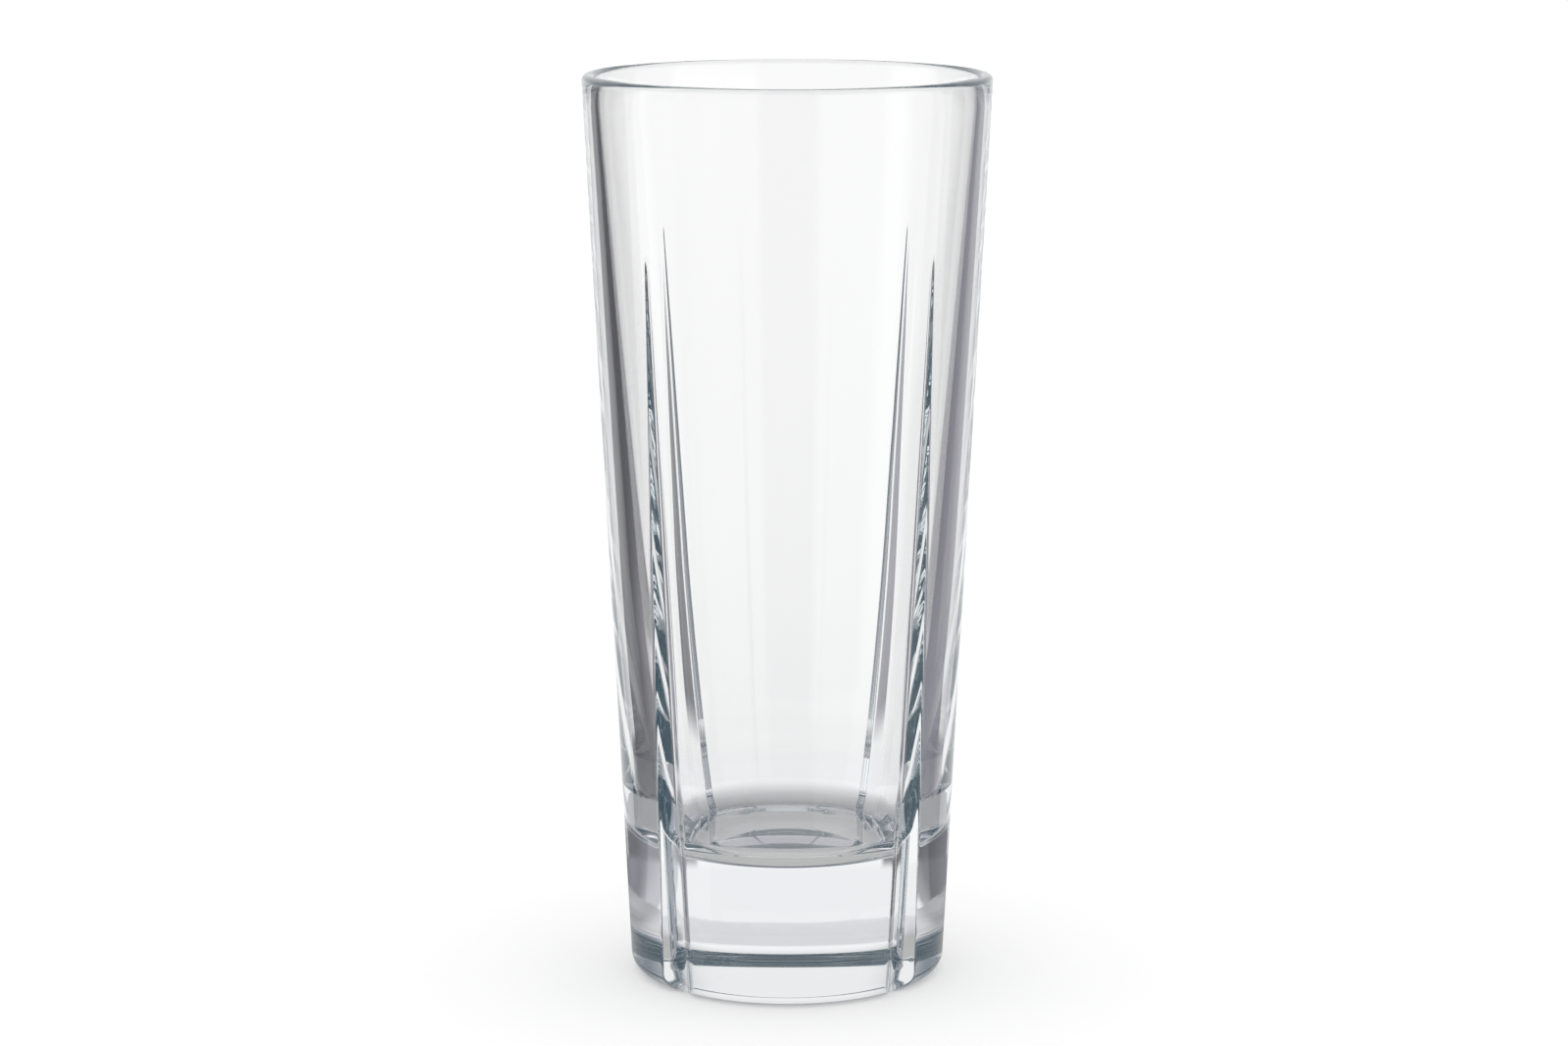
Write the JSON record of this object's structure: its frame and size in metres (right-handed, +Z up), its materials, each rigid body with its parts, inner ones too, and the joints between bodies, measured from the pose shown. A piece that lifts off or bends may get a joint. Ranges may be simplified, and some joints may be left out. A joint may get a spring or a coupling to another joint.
{
  "type": "highball glass",
  "caption": "Tall tapered highball glass of clear pressed glass with a thick solid foot, a plain rounded lip and shallow flutes that run up the side and fade out.",
  "frame": {"origin": "centre of the foot on the plane that the glass stands on", "axes": "+Z up along the axis of the glass; the flutes lie halfway between the X and Y axes"},
  "size_m": [0.067, 0.067, 0.15],
  "materials": {
    "glass": "clear, fire-polished pressed glass"
  },
  "bodies": {
    "root": {"base": "glass", "bowl": "glass", "rim": "glass"}
  },
  "joints": []
}
